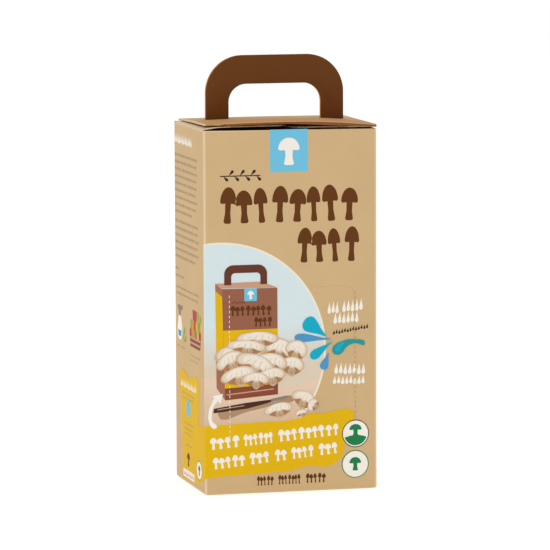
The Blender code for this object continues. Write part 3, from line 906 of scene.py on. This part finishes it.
# %% Print the mushrooms that grow out of it
def oyster(u, v, wide, high, lean):
    """One oyster mushroom seen from the side: stem, gills, a fan-shaped cap and its highlights."""
    dome = [(-0.50, -0.02), (-0.46, 0.22), (-0.24, 0.42), (0.08, 0.50)]
    dome += [(0.36, 0.38), (0.50, 0.12), (0.47, -0.10)]
    frill = [(0.33, -0.16), (0.20, -0.05), (0.02, -0.10), (-0.14, -0.02), (-0.30, -0.13), (-0.42, -0.14)]
    cap = dome + frill
    under = [(-0.42, 0.02), (-0.30, -0.22), (-0.08, -0.40), (0.04, -0.52)]
    under += [(0.18, -0.40), (0.36, -0.24), (0.44, 0.0), (0.10, 0.10)]
    stem = [(-0.10, -0.08), (-0.05, -0.44), (0.05, -0.52), (0.14, -0.42), (0.15, -0.08), (0.02, 0.0)]

    def sized(points, share=1.0, shift=(0.0, 0.0)):
        placed = [((x * share + shift[0]) * wide, (y * share + shift[1]) * high) for x, y in points]
        return tilted(placed, u, v, lean), True

    def stroke(start, end, across):
        (x0, y0), (x1, y1) = start, end
        wider = across * 1.8
        line = [(x0 - across, y0), (x0 + across, y0), (x1 + wider, y1), (x1 - wider, y1)]
        return tilted([(x * wide, y * high) for x, y in line], u, v, lean), False

    gills = [stroke((0.04 + 0.012 * (i - 2), -0.40), (-0.28 + 0.15 * i, -0.04), 0.006) for i in range(5)]
    creases = [
        stroke((-0.24 + 0.17 * i, -0.04 + 0.02 * (i % 2)), (-0.16 + 0.14 * i, 0.20 + 0.05 * (i % 3)), 0.005)
        for i in range(4)
    ]
    return [
        ("gill brown", [sized(under)]),
        ("cap shade", [sized(stem)]),
        ("gill deep", gills),
        ("cap tan", [sized(cap)]),
        ("cap mid", [sized(cap, 0.88, (0.0, 0.035))]),
        ("cap cream", [sized(cap, 0.68, (0.01, 0.085))]),
        ("cap tan", creases),
    ]


cluster = []
for spec in (
    (-35.0, 92.0, 34, 17, 6),
    (-9.0, 94.5, 20, 16, -14),
    (3.0, 93.5, 15, 15, -20),
    (0.0, 83.5, 17, 13, -8),
    (-23.0, 102.0, 29, 11, -2),
    (-30.5, 97.0, 27, 10, -6),
    (-41.0, 87.5, 20, 14, 22),
    (-14.0, 86.0, 22, 14, -12),
    (-25.0, 84.5, 28, 16, -24),
    (-36.0, 78.0, 24, 13, 12),
    (-14.0, 77.0, 20, 12, 8),
    (-24.5, 75.0, 18, 11, -4),
):
    cluster += oyster(*spec)
print_picture("print_oyster_cluster", cluster, first_layer=8, step=0.15)

# %% Print what lies on the table, and the arrow
knife = [(-52.8, 54.3), (-30, 56.5), (-14, 60.2), (-13.6, 62.0), (-31, 60.4), (-52.6, 57.3)]
blade = [(-14, 60.2), (-4, 62.0), (0.3, 63.9), (-4, 64.2), (-13.6, 62.4)]
shadow = [(-50, 53.3), (-28, 54.9), (-10, 59.0), (2, 62.6), (-10, 60.6), (-40, 55.5)]
loose = oyster(8.0, 61.0, 17, 12, -24) + oyster(-9.0, 54.6, 20, 10, 10)
loose += oyster(6.5, 52.0, 8, 5, 14) + oyster(15.0, 57.0, 9, 8, 60)
lying = [("table shade", [(shadow, True)]), ("knife brown", [(knife, False)]), ("steel", [(blade, False)])]
lying += [("kit edge", [([(-50.0, 56.2), (-32, 58.4), (-32, 58.9), (-50.0, 56.8)], False)])]
print_picture("print_knife_and_caps", lying + loose, first_layer=4, step=0.2)

sweep = [(-52.3, 44.0), (-55.9, 48.6), (-56.1, 54.5), (-54.2, 60.2), (-51.0, 64.6)]
back_sweep = [(-49.9, 63.2), (-52.4, 59.4), (-53.9, 54.0), (-53.6, 49.2), (-50.6, 45.2)]
head = [(-53.6, 65.6), (-46.3, 67.0), (-48.0, 60.6)]
print_picture("print_arrow", [("white", [(sweep + back_sweep, True)]), ("white", [(head, False)])], first_layer=5)

# %% Print the splash of water and the rows of white drops beside it
leaf = [(50.3, 96.8), (42.0, 100.0), (34.5, 98.9), (29.0, 96.0), (28.0, 92.4), (30.8, 90.0), (34.6, 91.2)]
leaf += [(37.6, 95.0), (43.0, 97.4)]
splash = [
    ("teal", [drop((23.8, 102.6), (9.0, 113.6), 10.4)]),
    ("wave blue", [drop((27.0, 100.6), (2.2, 102.6), 5.4)]),
    ("teal", [drop((27.6, 98.8), (13.2, 88.6), 6.2)]),
    ("wave blue", [drop((25.4, 91.5), (21.4, 80.6), 5.6)]),
    ("deep teal", [(leaf, True)]),
    ("teal", [([(36.0, 98.0), (31.0, 96.2), (29.8, 93.0), (32.4, 92.4), (34.2, 95.2)], True)]),
]
print_picture("print_splash", splash, first_layer=8)
white_rows = drop_row(24.5, 32.5, 117.4, 7.6, 3, 4) + drop_row(34.5, 49.0, 118.2, 7.6, 5, 4)
white_rows += drop_row(28.5, 46.0, 110.6, 7.2, 6, 3)
white_rows += drop_row(29.0, 50.6, 77.4, 7.0, 7, -2) + drop_row(28.0, 50.2, 70.8, 5.4, 8, -2)
print_ink("print_white_rows", "white", white_rows)
print_ink("print_small_row", "dark line", drop_row(28.0, 52.6, 103.4, 2.9, 13, 9))

# %% Print the brushed band, which runs on round the corner
band = [(-129.5, 73.2), (-103.0, 71.8), (-76.6, 73.0), (-75.4, 58.0), (-74.6, 45.6), (-66.0, 44.6)]
band += [(-59.0, 45.6), (-40.0, 46.6), (-20.6, 47.3), (4.4, 48.6), (13.0, 51.4), (22.0, 51.6), (30.0, 52.9)]
band += [(40.1, 53.4), (42.9, 49.4), (41.6, 45.3), (39.0, 38.0), (35.8, 29.2), (34.6, 23.1), (31.6, 19.4)]
band += [(24.0, 16.0), (10.6, 16.6), (0.0, 14.2), (-10.3, 13.6), (-31.2, 12.6), (-59.2, 10.6), (-72.0, 6.2)]
band += [(-84.0, 3.6), (-105.0, 3.9), (-121.0, 3.4), (-123.6, 22.0), (-126.8, 48.0)]
print_ink("print_band", "yellow", [(band, True)], layer=4)
line_one = mushroom_row(-55.4, -35.0, 30.0, 7.8, 4, 4.4) + mushroom_row(-32.6, -12.0, 31.7, 7.8, 6, 4.4)
line_one += mushroom_row(-9.2, 32.6, 33.6, 8.0, 9, 4.4)
line_two = mushroom_row(-53.4, -31.4, 16.9, 7.8, 5, 5.2) + mushroom_row(-28.6, -14.2, 19.2, 7.8, 3, 5.2)
line_two += mushroom_row(-11.4, -2.6, 20.6, 7.8, 2, 5.2) + mushroom_row(-0.2, 15.4, 21.7, 7.8, 4, 5.2)
line_two += mushroom_row(18.4, 32.4, 23.4, 7.8, 3, 5.2)
print_ink("print_band_rows", "white", line_one + line_two, layer=5)

# %% Print the two plain seals and the row under the band
SEAL_R = 9.2
SEAL_RIM = 0.55
hill = arc(43.7, 37.1, SEAL_R - 1.3, 198, 342, 24) + [(48.5, 35.6), (44.0, 36.4), (39.5, 35.6)]
SEALS = (
    ("upper", "dark line", 43.7, 37.1, [(hill, False)], mushroom(43.7, 35.0, 8.4, 8.4)),
    ("lower", "green", 43.5, 16.7, [], mushroom(43.5, 12.3, 9.0, 8.0)),
)
for name, rim, u, v, ground, mark in SEALS:
    seal = [(rim, [disc(u, v, SEAL_R)]), ("white", [disc(u, v, SEAL_R - SEAL_RIM)])]
    if ground:
        seal.append(("green", ground))
    print_picture("print_seal_" + name, seal + [("green", [mark])], first_layer=5, step=0.5)
bottom_row = mushroom_row(-23.9, -12.4, 5.0, 6.4, 5) + mushroom_row(-9.4, 6.4, 5.2, 6.4, 7)
bottom_row += mushroom_row(9.4, 23.2, 5.4, 6.4, 5)
print_ink("print_bottom_row", "title brown", bottom_row)

# %% Score the perforation round the tear-out window
DASH, DASH_W, DASH_PITCH = 1.7, 0.36, 3.3
# The right-hand row of dashes is painted shade in the cut slits.
for name, u, ink in (("left", window_low.x + 0.9, "white"), ("right", window_high.x + 0.9, "painted shade in perforation slits")):
    dashes = []
    for i in range(int((window_high.z - window_low.z) / DASH_PITCH)):
        v = window_low.z + 0.8 + i * DASH_PITCH
        dashes.append(box_outline(u - DASH_W / 2, v, u + DASH_W / 2, v + DASH))
    print_ink("perforation_" + name, ink, dashes, layer=14 if name == "left" else 2)

# %% [markdown]
# ### The other three panels
# The narrow left side has a column of fine rules, a small still life in the middle and a yellow
# panel that runs into the front's band. The right side and the back repeat the same plain language.

# %% Print the left panel
left_rules = rules(-41.0, [24, 22, 24, 21, 23.5, 22, 24, 20, 10], 219.6, 4.75, 1.7)
left_rules += rules(-41.0, [27, 25.5, 28, 26, 27, 19], 175.2, 4.75, 1.7)
left_rules += rules(-41.0, [-28, -17], 143.0, 4.9, 1.5) + rules(-38.0, [27, 24], 130.4, 4.1, 1.4)
print_ink("print_left_rules", "soft brown", left_rules, LEFT)
print_ink("print_left_head", "white", drop_row(-41.0, 9.0, 226.6, 6.2, 12), LEFT)
sprayer_body = [(-34, 96), (-24, 96), (-22, 101), (-24, 108), (-27, 111), (-31, 111), (-34, 107), (-36, 100)]
sprayer_head = [(-32, 111), (-26, 111), (-26, 114.5), (-20, 116)]
sprayer_head += [(-20, 118), (-35, 118), (-35, 115), (-32, 114)]
print_picture(
    "print_left_sprayer",
    [
        ("white", [(sprayer_body, True)]),
        ("wave blue", [([(-33, 97), (-25, 97), (-24, 101), (-34, 101)], False)]),
        ("steel", [(sprayer_head, False)]),
        ("leaf green", [drop((-20, 95), (-14, 104), 4), drop((-18, 94), (-10, 98), 4)]),
    ],
    LEFT,
    first_layer=1,
)
basket = [("kit brown", [([(2, 94), (30, 94), (33, 103), (0, 103)], False)])]
back_row = ("red", "orange", "leaf green", "kit pink", "yellow", "red")
front_row = ("leaf green", "orange", "red", "yellow", "leaf green")
for i, ink in enumerate(back_row + front_row):
    basket.append((ink, [disc(3.5 + 5.2 * (i % 6) + 2.2 * (i // 6), 103.5 + 5.4 * (i // 6), 3.4, 20)]))
basket.append(("red", [([(10, 112), (20, 112), (21, 119), (9, 119)], False)]))
basket.append(("leaf green", [drop((28, 108), (32, 117), 4), drop((24, 110), (25, 119), 4)]))
slats = [(2, 96), (30, 96), (30.4, 97.4), (1.6, 97.4)], [(1, 99.4), (31.4, 99.4), (31.8, 100.8), (0.6, 100.8)]
basket.append(("kit edge", [(slat, False) for slat in slats]))
print_picture("print_left_basket", basket, LEFT, first_layer=1, step=0.15)
captions = rules(-37.0, [-14], 90.5, 4, 0.8) + rules(3.0, [30, 24], 88.5, 3.4, 0.8)
print_ink("print_left_captions", "soft brown", captions, LEFT)
panel_rules = rules(-22.0, [14, 11], 60.6, 3.0, 0.7) + rules(-16.0, [10, 6, 9], 41.0, 3.6, 0.7)
panel_rules += rules(-12.0, [6], 26.5, 3, 0.7)
print_picture(
    "print_left_panel",
    [
        ("white", drop_row(-26.5, 19.0, 64.0, 5.0, 11)),
        ("soft brown", panel_rules),
        ("sky blue", [([(-9, 47), (0, 47), (1, 51), (-1, 55.5), (-4.5, 57), (-8, 55.5), (-10, 51)], True)]),
        ("title brown", [mushroom(-5, 12.0, 9.0, 8.0)]),
        ("white", [box_outline(-20, 3.8, 12, 9.0)]),
        ("red", drop_row(-18, 10, 4.9, 2.8, 9)),
    ],
    LEFT,
    first_layer=5,
)


def oval(u, v, half_wide, half_high):
    ring = [radians(t) for t in range(0, 360, 15)]
    return [(u + half_wide * cos(t), v + half_high * sin(t)) for t in ring], False


oval_seal = [("steel", [oval(26.5, 14.0, 8.0, 6.6)]), ("white", [oval(26.5, 14.0, 7.3, 5.9)])]
oval_seal.append(("green", [mushroom(26.5, 10.6, 6.6, 6.0)]))
print_picture("print_left_oval", oval_seal, LEFT, first_layer=5, step=0.5)

# %% Print the right panel and the back
print_ink("print_right_head", "white", drop_row(-30.0, 30.0, 224.0, 7.0, 13), RIGHT)
right_rules = rules(-36.0, [34, 31, 35, 30, 33, 12], 214.0, 4.75, 1.0)
right_rules += rules(-36.0, [35, 30, 33, 9], 60.0, 4.75, 1.0)
print_ink("print_right_rules", "soft brown", right_rules, RIGHT)
steps = []
for i, v in enumerate((152.0, 112.0, 72.0)):
    ground = "teal" if i == 1 else "yellow"
    steps += [("cream", [disc(-22.0, v + 12.0, 12.5)]), (ground, [disc(-22.0, v + 12.0, 11.6)])]
    steps += [("soft brown", rules(-4.0, [33, 29, 31, 14], v + 21.0, 4.75, 1.0))]
    if i == 0:
        steps += [("kit brown", [box_outline(-28, v + 5, -16, v + 17)])]
        steps += [("white", [box_outline(-26, v + 7, -18, v + 13)])]
        grip = [(-26, 17), (-26, 20), (-18, 20), (-18, 17)]
        grip += [(-19.4, 17), (-19.4, 18.6), (-24.6, 18.6), (-24.6, 17)]
        steps += [("kit brown", [([(x, v + y) for x, y in grip], False)])]
    if i == 1:
        small = [drop((x, v + 15), (x, v + 8), 3.6) for x in (-28, -16)]
        steps += [("white", [drop((-22, v + 20), (-22, v + 5), 8)] + small)]
    if i == 2:
        steps += oyster(-22.0, v + 12.0, 19, 13, -8)
print_picture("print_right_steps", steps, RIGHT, first_layer=1, step=0.3)
back_title = mushroom_row(-44.0, 44.0, 196, 22, 8) + mushroom_row(-20.0, 20.0, 172, 20, 4)
print_ink("print_back_title", "title brown", back_title, BACK)
print_ink("print_back_rules", "soft brown", rules(-44.0, [42, 38, 43, 40, 41, 37, 12], 160.0, 4.75, 1.0), BACK)
back_picture = [("cream", [disc(0, 84.0, 39.0, 72)]), ("wall", [disc(0, 84.0, 37.7, 72)])]
back_picture += [("table", [(arc(0, 84.0, 37.7, 200, 340, 50), False)])]
back_picture += oyster(-12, 92, 30, 24, 10) + oyster(13, 90, 28, 22, -12) + oyster(0, 78, 38, 26, 0)
back_picture += oyster(-14, 68, 20, 14, 14) + oyster(14, 68, 20, 14, -10)
print_picture("print_back_picture", back_picture, BACK, first_layer=1, step=0.3)
back_band = [(-50.0, 34.0), (-24.0, 35.2), (4.0, 34.0), (30.0, 36.0), (50.0, 35.0), (48.0, 24.0)]
back_band += [(46.0, 15.0), (20.0, 13.4), (-8.0, 14.6), (-34.0, 13.0), (-48.0, 14.4), (-47.0, 24.0)]
print_ink("print_back_band", "yellow", [(back_band, True)], BACK)
back_row = mushroom_row(-42.0, -14.0, 19.0, 9.0, 6) + mushroom_row(-8.0, 40.0, 19.0, 9.0, 9)
print_ink("print_back_band_row", "white", back_row, BACK, layer=2)

# %% [markdown]
# ## What is packed inside
# The growing bag is a block of sawdust that mushroom roots have turned nearly white, packed in clear
# film whose top is folded over. On it lie a leaflet, folded in four, and a small spray bottle.

# %% Make the materials of the contents
def mottled(name, hexes, size, roughness, bump, coat=0.0):
    """Cloudy matter in two colours, with patches of this size in mm. coat is a skin of clear film."""
    made, tree, shader = new_material(name, Roughness=roughness, Coat_Weight=coat, Coat_Roughness=0.12)
    place = add_node(tree, "TexCoord").outputs["Object"]
    patches = add_node(
        tree, "TexNoise", {"Vector": place, "Scale": per_metre(size), "Detail": 6.0, "Roughness": 0.62}
    )
    limits = {"Value": patches.outputs["Fac"], "From Min": 0.42, "From Max": 0.60}
    share = add_node(tree, "MapRange", limits, interpolation_type="SMOOTHSTEP")
    first, second = (linear(value) for value in hexes)
    colour = add_node(tree, "Mix", {0: share.outputs["Result"], 6: first, 7: second}, data_type="RGBA")
    tree.links.new(colour.outputs[2], shader.inputs["Base Color"])
    grain = add_node(tree, "TexNoise", {"Vector": place, "Scale": per_metre(size / 6), "Detail": 4.0})
    lift = add_node(tree, "Bump", {"Strength": bump, "Distance": 0.5 * MM, "Height": grain.outputs["Fac"]})
    tree.links.new(lift.outputs["Normal"], shader.inputs["Normal"])
    if coat:
        crinkle = {"Vector": place, "Scale": per_metre(14), "Detail": 5.0, "Distortion": 1.6}
        creases = add_node(tree, "TexNoise", crinkle)
        film = add_node(tree, "Bump", {"Strength": 0.7, "Distance": 2.0 * MM, "Height": creases.outputs["Fac"]})
        tree.links.new(film.outputs["Normal"], shader.inputs["Coat Normal"])
    return made


def moulded(name, hex_colour, roughness, transmission):
    """Moulded plastic: a little uneven in its gloss, and see-through by its transmission."""
    made, tree, shader = new_material(name, Transmission_Weight=transmission, IOR=1.49)
    shader.inputs["Base Color"].default_value = linear(hex_colour)
    place = add_node(tree, "TexCoord").outputs["Object"]
    haze = add_node(tree, "TexNoise", {"Vector": place, "Scale": per_metre(4), "Detail": 3.0})
    gloss = add_node(
        tree, "MapRange", {"Value": haze.outputs["Fac"], "To Min": roughness - 0.06, "To Max": roughness + 0.06}
    )
    tree.links.new(gloss.outputs["Result"], shader.inputs["Roughness"])
    ripple = add_node(tree, "Bump", {"Strength": 0.08, "Distance": 0.1 * MM, "Height": haze.outputs["Fac"]})
    tree.links.new(ripple.outputs["Normal"], shader.inputs["Normal"])
    return made


BLOCK = mottled("mycelium block under clear polythene film", ("C9AE84", "F1ECE0"), 9, 0.6, 0.5, coat=1.0)
FOLDED_FILM = mottled("clear polythene film, folded and hazy", ("D9D2C4", "EFEBE2"), 16, 0.25, 0.2, coat=1.0)
LEAFLET_PAPER = mottled("uncoated leaflet paper", ("EFECE2", "F4F1E8"), 6, 0.8, 0.08)
BOTTLE = moulded("milky polythene, blow moulded", "E9EEEF", 0.34, 0.35)
PUMP = moulded("white polypropylene, injection moulded", "F2F3F1", 0.30, 0.0)
CAP = moulded("blue tinted polypropylene, injection moulded", "7CC4DA", 0.22, 0.55)
print("contents have their materials")

# %% Pack the growing bag
block_low, block_high = bag_low + Vector((2.2, 2.0, 0.4)), bag_high + Vector((-2.2, -2.0, -5.8))
bag = add_block("grow_bag_block", block_low, block_high)
pick(bag, "EDGE", lambda ends: True)
bpy.ops.mesh.bevel(offset=11 * MM, segments=5)
modify(bag, "REMESH", mode="VOXEL", voxel_size=2.6 * MM)
modify(bag, "SMOOTH", factor=0.5, iterations=4)
lumps = bpy.data.textures.new("lumps", "CLOUDS")
lumps.noise_scale, lumps.noise_depth = 26 * MM, 3
modify(bag, "DISPLACE", texture=lumps, strength=3.4 * MM, mid_level=0.5, texture_coords="LOCAL")
finish(bag, "carton", [BLOCK], angle=60, replaces=["grow_bag"])


def folded_strip(name, profile, low_x, high_x, thickness, cell):
    """A sheet folded to and fro: profile is (y, z) points of its section, run along X and thickened."""
    drawing = bpy.data.curves.new(name, "CURVE")
    drawing.dimensions = "2D"
    drawing.resolution_u = 6
    drawing.extrude = (high_x - low_x) / 2 * MM
    spline = drawing.splines.new("BEZIER")
    spline.bezier_points.add(len(profile) - 1)
    for knot, (y, z) in zip(spline.bezier_points, profile):
        knot.co = (y * MM, z * MM, 0)
        knot.handle_left_type = knot.handle_right_type = "AUTO"
    strip = bpy.data.objects.new(name, drawing)
    bpy.context.scene.collection.objects.link(strip)
    only(strip)
    bpy.ops.object.convert(target="MESH")
    strip = bpy.context.object
    across = Matrix(((0, 0, 1, (low_x + high_x) / 2 * MM), (1, 0, 0, 0), (0, 1, 0, 0), (0, 0, 0, 1)))
    strip.data.transform(across)
    whole(strip)
    bpy.ops.mesh.remove_doubles(threshold=0.001 * MM)
    for i in range(1, int((high_x - low_x) / cell)):
        bpy.ops.mesh.select_all(action="SELECT")
        bpy.ops.mesh.bisect(plane_co=((low_x + i * cell) * MM, 0, 0), plane_no=(1, 0, 0))
    bpy.ops.mesh.select_all(action="SELECT")
    bpy.ops.mesh.normals_make_consistent(inside=False)
    modify(strip, "SOLIDIFY", thickness=thickness * MM, offset=0)
    return strip


top = bag_high.z
to_and_fro = ((31, 5.2), (10, 4.6), (5.2, 3.9), (10, 3.2), (30, 3.4), (32.4, 2.6))
to_and_fro += ((30, 1.9), (12, 1.7), (8, 1.2), (12, 0.8), (28, 0.9))
film_folds = [(y, top - down) for y, down in to_and_fro]
bag_fold = folded_strip("grow_bag_folded_top", film_folds, -46, 46, 0.25, 3.0)
modify(bag_fold, "DISPLACE", texture=lumps, strength=1.6 * MM, mid_level=0.5, direction="Z", texture_coords="LOCAL")
finish(bag_fold, "carton", [FOLDED_FILM], angle=50)

# %% Fold the leaflet and print it
leaf_low, leaf_high = measure("instruction_leaflet")
y0, y1, z0 = leaf_low.y, leaf_high.y, leaf_low.z
zigzag = []
for i in range(4):
    ends = (y0 + 0.5, y1 - 0.5) if i % 2 == 0 else (y1 - 0.5, y0 + 0.5)
    zigzag += [(ends[0], z0 + 0.12 + 0.3 * i), (ends[1], z0 + 0.12 + 0.3 * i)]
leaflet = folded_strip("leaflet_folded_sheet", zigzag, leaf_low.x, leaf_high.x, 0.11, 20)
finish(leaflet, "carton", [LEAFLET_PAPER], angle=50, replaces=["instruction_leaflet"])
leaf_top = z0 + 0.12 + 0.9 + 0.13
strokes = rules(-34, [-4, -8, -5, -16], 30, 5.0, 1.3) + rules(4, [30, 27, 31, 16], 30, 5.0, 1.3)
strokes += rules(-34, [28], 10, 5, 1.3)
leaf_ink = add_slab("leaflet_print", strokes + [mushroom(-40, 20, 12, 10)], leaf_top - 0.1, leaf_top + 0.04)
finish(leaf_ink, "carton", [INKS["title brown"]], angle=30)

# %% Turn the spray bottle
bottle_low, bottle_high = measure("mister_bottle")
axis = Vector((0, *((bottle_low + bottle_high) / 2).yz))


def turned(name, profile, steps=56):
    """A piece turned about the spray bottle's axis. profile is (x, radius) points in mm."""
    drawing = bpy.data.curves.new(name, "CURVE")
    spline = drawing.splines.new("POLY")
    spline.points.add(len(profile) - 1)
    for knot, (x, radius) in zip(spline.points, profile):
        knot.co = (x * MM, axis.y * MM, (axis.z + radius) * MM, 1)
    made = bpy.data.objects.new(name, drawing)
    bpy.context.scene.collection.objects.link(made)
    only(made)
    bpy.ops.object.convert(target="MESH")
    made = bpy.context.object
    whole(made)
    bpy.ops.mesh.select_mode(type="VERT")
    bpy.ops.mesh.select_all(action="SELECT")
    bpy.ops.mesh.spin(steps=steps, angle=2 * pi, center=axis * MM, axis=(1, 0, 0))
    bpy.ops.mesh.select_all(action="SELECT")
    bpy.ops.mesh.remove_doubles(threshold=0.002 * MM)
    bpy.ops.mesh.normals_make_consistent(inside=False)
    bpy.ops.object.mode_set(mode="OBJECT")
    return made


def corner(x, radius, r, start, end):
    return arc(x, radius, r, start, end, 5)


outer = [(-47.0, 0.0), (-47.0, 7.0), (-48.0, 8.5)] + corner(-46.2, 10.7, 1.8, 180, 90)
outer += corner(4.5, 9.0, 3.5, 90, 30) + [(10.2, 8.3), (11.8, 8.0)]
inner = [(11.8, 7.0), (9.8, 7.2), (4.4, 11.4), (-45.8, 11.4), (-46.4, 7.6), (-46.0, 0.0)]
bottle = turned("mister_bottle_body", outer + inner)
finish(bottle, "carton", [BOTTLE], angle=50, replaces=["mister_bottle"])
ribbed = [(12.4, 0.0), (12.4, 9.4), (12.9, 10.0)]
for i in range(7):
    ribbed += [(13.6 + 1.15 * i, 10.15), (14.0 + 1.15 * i, 9.75)]
stem = [(22.0, 9.6), (22.6, 8.6), (23.2, 4.2), (28.6, 4.0), (29.2, 6.2), (29.8, 6.6), (37.0, 6.6)]
nozzle = corner(37.0, 5.2, 1.4, 90, 0) + [(38.4, 1.2), (37.4, 1.0), (37.4, 0.0)]
pump = turned("mister_pump_head", ribbed + stem + nozzle)
finish(pump, "carton", [PUMP], angle=40, replaces=["mister_pump"])
cap_outer = [(14.2, 10.7), (14.2, 11.5), (14.6, 12.0), (15.4, 12.0), (16.0, 11.6)]
cap_outer += corner(43.6, 9.9, 1.9, 90, 0) + [(46.0, 8.4), (45.6, 0.0)]
cap_inner = [(44.4, 0.0), (44.4, 9.4), (43.2, 10.5), (14.2, 10.7)]
cap = turned("mister_overcap", cap_outer + cap_inner)
finish(cap, "carton", [CAP], angle=40, replaces=["mister_cap"])
LABEL_IN, LABEL_OUT = 12.45, 12.58  # radii of the label's two faces
wrap = [(-38.0, LABEL_IN), (-38.0, LABEL_OUT), (-2.0, LABEL_OUT), (-2.0, LABEL_IN), (-38.0, LABEL_IN)]
label = turned("mister_label", wrap)
label.data.materials.append(INKS["white"])
paint(label, INKS["sky blue"], lambda c, n: c.x < -37 or c.x > -3)
finish(label, "carton", [], angle=40)
